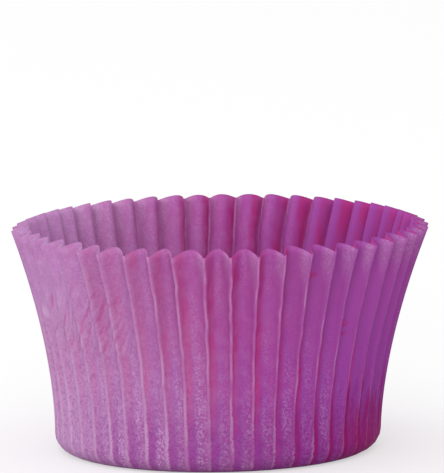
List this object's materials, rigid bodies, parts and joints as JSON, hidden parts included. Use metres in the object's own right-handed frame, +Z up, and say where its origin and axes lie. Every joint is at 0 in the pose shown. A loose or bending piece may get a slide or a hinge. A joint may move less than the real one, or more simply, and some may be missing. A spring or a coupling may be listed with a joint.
{
  "type": "cupcake liner",
  "caption": "Empty purple greaseproof-paper cupcake liner with a flat round floor and a flared, finely pleated wall with a scalloped rim.",
  "frame": {"origin": "on the table, under the middle of the rim", "axes": "+Z up through the open mouth, -Y towards the viewer of the picture, +X to the viewer's right"},
  "size_m": [0.0638, 0.0638, 0.035],
  "materials": {
    "purple_paper": "thin greaseproof paper dyed purple through, satin, with a mottled fibre texture and faint reddish and pale streaks along the pleats"
  },
  "bodies": {
    "root": {"pleated_liner": "purple_paper"}
  },
  "joints": []
}
